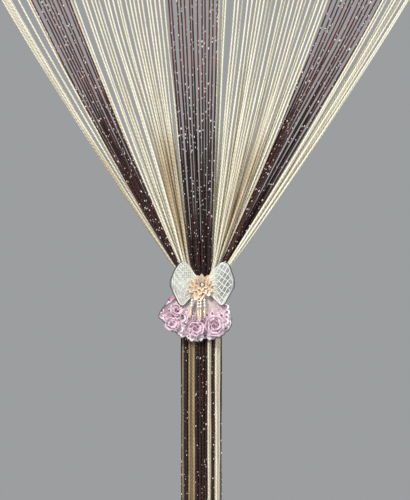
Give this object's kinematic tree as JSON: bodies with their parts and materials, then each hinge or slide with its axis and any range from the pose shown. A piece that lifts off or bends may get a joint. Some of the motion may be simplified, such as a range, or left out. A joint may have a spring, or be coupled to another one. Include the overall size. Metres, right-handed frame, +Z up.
{
  "type": "string curtain",
  "caption": "Striped string curtain under a rod-pocket heading, drawn in at the waist by a tie with a net bow, a petalled flower, bead drops and a lace frill.",
  "frame": {"origin": "middle of the heading's top edge, where the curtain hangs", "axes": "+X to the right as seen from the front, -Y towards the viewer in front, +Z up"},
  "size_m": [1, 0.049, 2.0002],
  "materials": {
    "heading_cloth": "matt woven cream tape",
    "cream_string": "soft twisted cream cord, a little glossy",
    "brown_string": "soft twisted dark brown cord with pale flecks",
    "tie_ribbon": "ivory elastic ribbon",
    "bow_net": "stiff ivory diamond net with corded edges",
    "petal_cloth": "peach satin, shaded to tan at its folds",
    "crystal": "clear lilac faceted stone",
    "bead_pearl": "pearl lustre with gilt long beads",
    "frill_lace": "pink lace with white corded edges",
    "rosette_lace": "pink rolled lace with a white edge"
  },
  "bodies": {
    "root": {"heading_sleeve": "heading_cloth", "strings_cream_edge_left": "cream_string", "strings_brown_left": "brown_string", "strings_cream_left": "cream_string", "strings_brown_middle": "brown_string", "strings_cream_right": "cream_string", "strings_brown_right": "brown_string", "strings_cream_edge_right": "cream_string", "tie_band": "tie_ribbon", "lace_frill": "frill_lace", "rosette_top_left": "rosette_lace", "rosette_left": "rosette_lace", "rosette_middle": "rosette_lace", "rosette_right": "rosette_lace", "lace_bow": "bow_net", "flower_outer_petals": "petal_cloth", "flower_middle_petals": "petal_cloth", "flower_inner_petals": "petal_cloth", "flower_stone": "crystal", "bead_drop_1": "bead_pearl", "bead_drop_2": "bead_pearl", "bead_drop_3": "bead_pearl", "bead_drop_4": "bead_pearl"}
  },
  "joints": []
}
